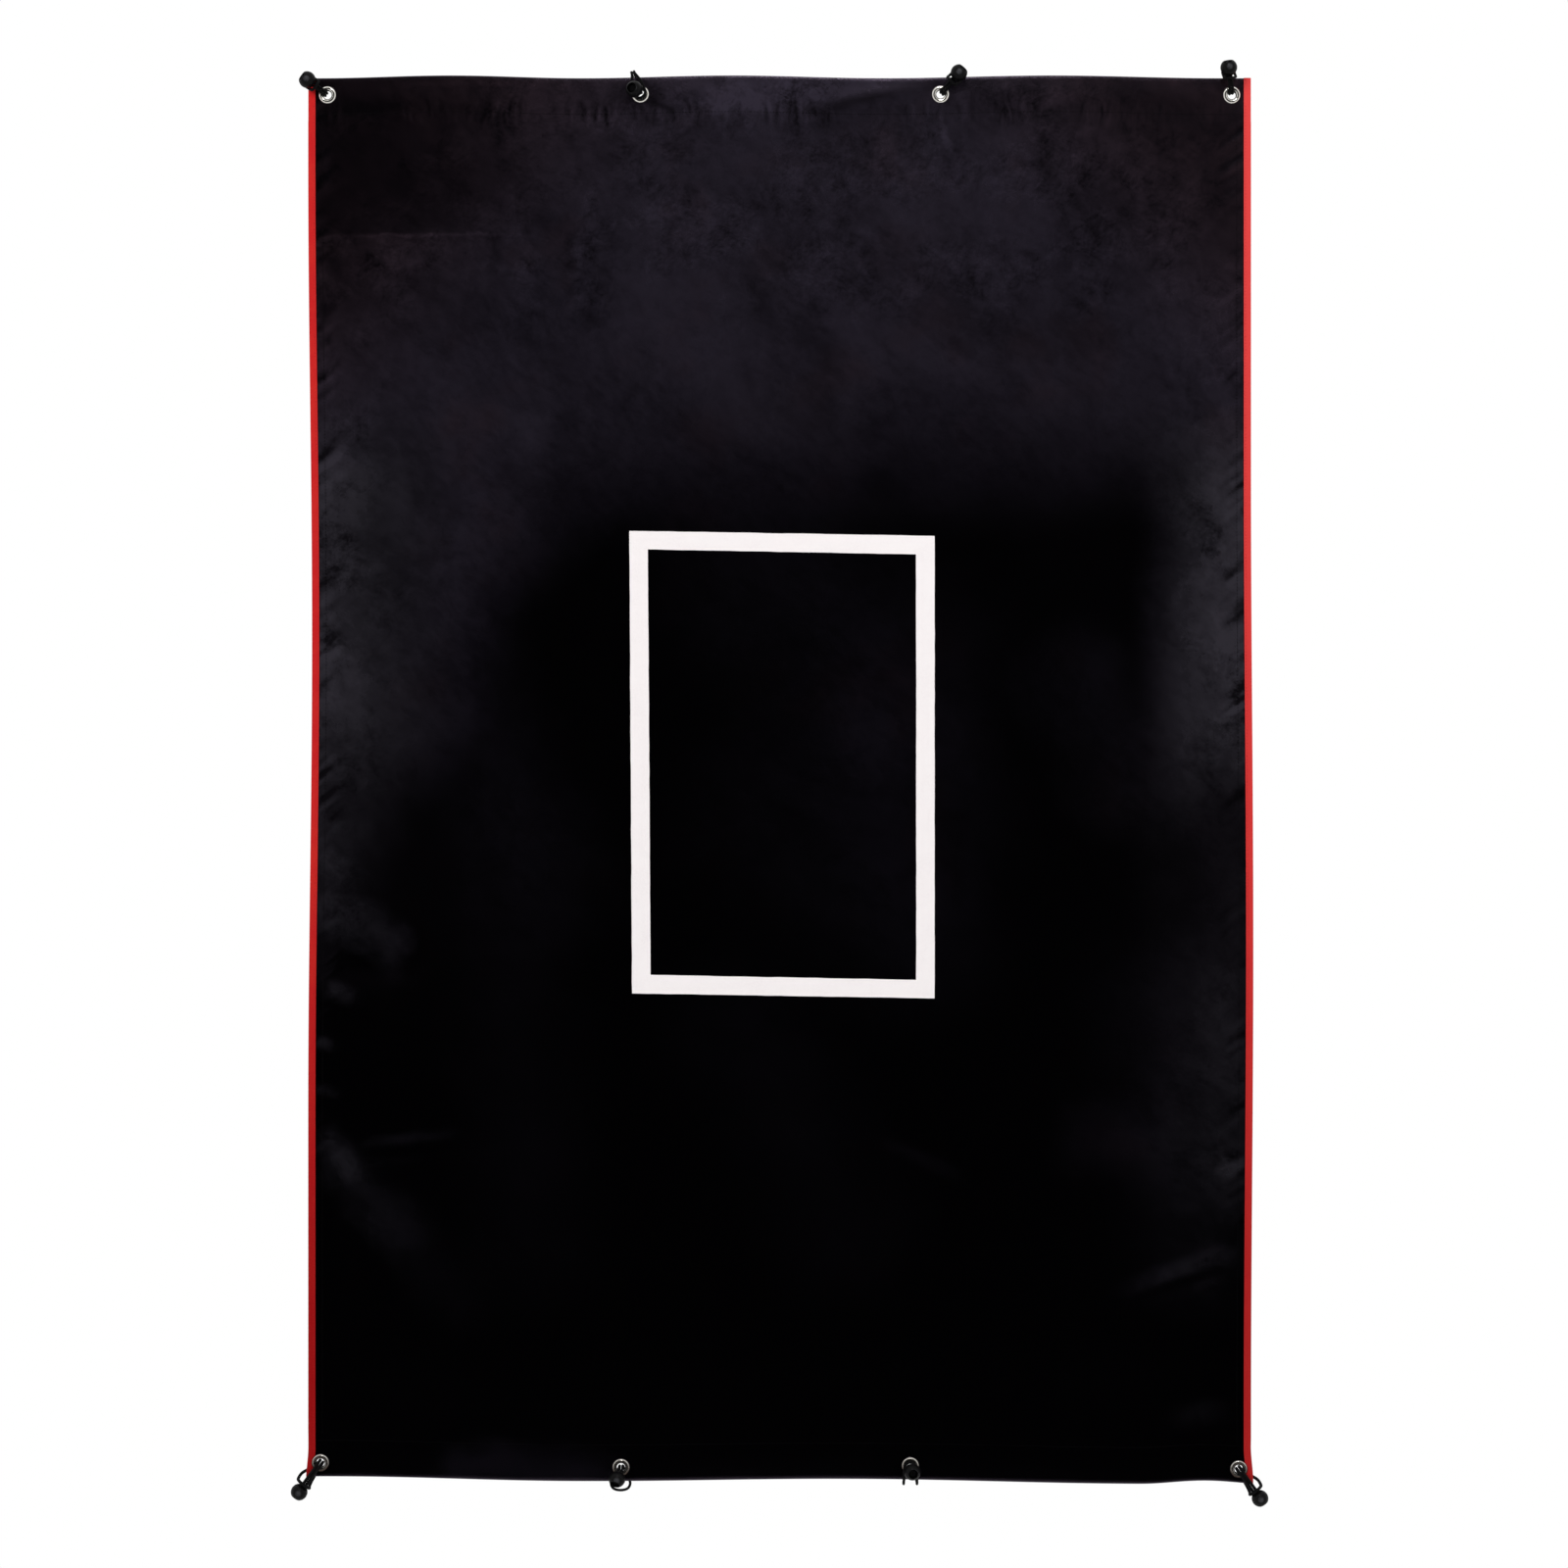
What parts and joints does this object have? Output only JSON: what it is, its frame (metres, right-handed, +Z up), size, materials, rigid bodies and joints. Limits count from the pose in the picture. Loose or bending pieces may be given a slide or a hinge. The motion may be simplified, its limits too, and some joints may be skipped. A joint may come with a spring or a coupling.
{
  "type": "pitching target sheet",
  "caption": "Black vinyl pitching backstop with a white strike-zone frame, red bound sides, hemmed ends, metal grommets and ball bungees.",
  "frame": {"origin": "middle of the sheet's top edge, in the plane of its front ply", "axes": "+X to the right seen from the front, +Y to the back, +Z up along the sheet's height"},
  "size_m": [1.2632, 0.0466, 1.8676],
  "materials": {
    "black_vinyl": "soft satin sheen with a fine leather grain",
    "webbing": "woven, dull",
    "red_tape": "smooth vinyl tape, satin",
    "white_print": "flat print",
    "nickel": "bright nickel plate",
    "ball_plastic": "glossy",
    "elastic_cord": "braided cover, dull"
  },
  "bodies": {
    "sheet": {"vinyl_panel": "black_vinyl", "top_webbing": "webbing", "bottom_webbing": "webbing", "left_binding": "red_tape", "right_binding": "red_tape", "strike_zone_frame": "white_print", "grommet_eyelet_top_left": "nickel", "grommet_eyelet_top_inner_left": "nickel", "grommet_eyelet_top_inner_right": "nickel", "grommet_eyelet_top_right": "nickel", "grommet_eyelet_bottom_left": "nickel", "grommet_eyelet_bottom_inner_left": "nickel", "grommet_eyelet_bottom_inner_right": "nickel", "grommet_eyelet_bottom_right": "nickel", "grommet_washer_top_left": "nickel", "grommet_washer_top_inner_left": "nickel", "grommet_washer_top_inner_right": "nickel", "grommet_washer_top_right": "nickel", "grommet_washer_bottom_left": "nickel", "grommet_washer_bottom_inner_left": "nickel", "grommet_washer_bottom_inner_right": "nickel", "grommet_washer_bottom_right": "nickel"},
    "bungee_top_left": {"bungee_ball_top_left": "ball_plastic", "bungee_knot_top_left": "elastic_cord", "bungee_loop_top_left": "elastic_cord"},
    "bungee_top_inner_left": {"bungee_ball_top_inner_left": "ball_plastic", "bungee_knot_top_inner_left": "elastic_cord", "bungee_loop_top_inner_left": "elastic_cord"},
    "bungee_top_inner_right": {"bungee_ball_top_inner_right": "ball_plastic", "bungee_knot_top_inner_right": "elastic_cord", "bungee_loop_top_inner_right": "elastic_cord"},
    "bungee_top_right": {"bungee_ball_top_right": "ball_plastic", "bungee_knot_top_right": "elastic_cord", "bungee_loop_top_right": "elastic_cord"},
    "bungee_bottom_left": {"bungee_ball_bottom_left": "ball_plastic", "bungee_knot_bottom_left": "elastic_cord", "bungee_loop_bottom_left": "elastic_cord"},
    "bungee_bottom_inner_left": {"bungee_ball_bottom_inner_left": "ball_plastic", "bungee_knot_bottom_inner_left": "elastic_cord", "bungee_loop_bottom_inner_left": "elastic_cord"},
    "bungee_bottom_inner_right": {"bungee_ball_bottom_inner_right": "ball_plastic", "bungee_knot_bottom_inner_right": "elastic_cord", "bungee_loop_bottom_inner_right": "elastic_cord"},
    "bungee_bottom_right": {"bungee_ball_bottom_right": "ball_plastic", "bungee_knot_bottom_right": "elastic_cord", "bungee_loop_bottom_right": "elastic_cord"}
  },
  "joints": [
    {"name": "bungee_swing_top_left", "type": "hinge", "parent": "sheet", "child": "bungee_top_left", "pos_m": [-0.5845, 0, -0.02339], "axis": [0, 1, 0], "range_deg": [-66, 84]},
    {"name": "bungee_swing_top_inner_left", "type": "hinge", "parent": "sheet", "child": "bungee_top_inner_left", "pos_m": [-0.18, 0, -0.02225], "axis": [0, 1, 0], "range_deg": [-6, 40]},
    {"name": "bungee_swing_top_inner_right", "type": "hinge", "parent": "sheet", "child": "bungee_top_inner_right", "pos_m": [0.208, 0, -0.02252], "axis": [0, 1, 0], "range_deg": [-80, 0]},
    {"name": "bungee_swing_top_right", "type": "hinge", "parent": "sheet", "child": "bungee_top_right", "pos_m": [0.5845, 0, -0.02344], "axis": [0, 1, 0], "range_deg": [-28, 130]},
    {"name": "bungee_swing_bottom_left", "type": "hinge", "parent": "sheet", "child": "bungee_bottom_left", "pos_m": [-0.5935, 0, -1.79146], "axis": [0, 1, 0], "range_deg": [-72, 84]},
    {"name": "bungee_swing_bottom_inner_left", "type": "hinge", "parent": "sheet", "child": "bungee_bottom_inner_left", "pos_m": [-0.205, 0, -1.7975], "axis": [0, 1, 0], "continuous": true},
    {"name": "bungee_swing_bottom_inner_right", "type": "hinge", "parent": "sheet", "child": "bungee_bottom_inner_right", "pos_m": [0.169, 0, -1.79549], "axis": [0, 1, 0], "range_deg": [-12, 12]},
    {"name": "bungee_swing_bottom_right", "type": "hinge", "parent": "sheet", "child": "bungee_bottom_right", "pos_m": [0.5935, 0, -1.79965], "axis": [0, 1, 0], "range_deg": [-84, 76]}
  ]
}
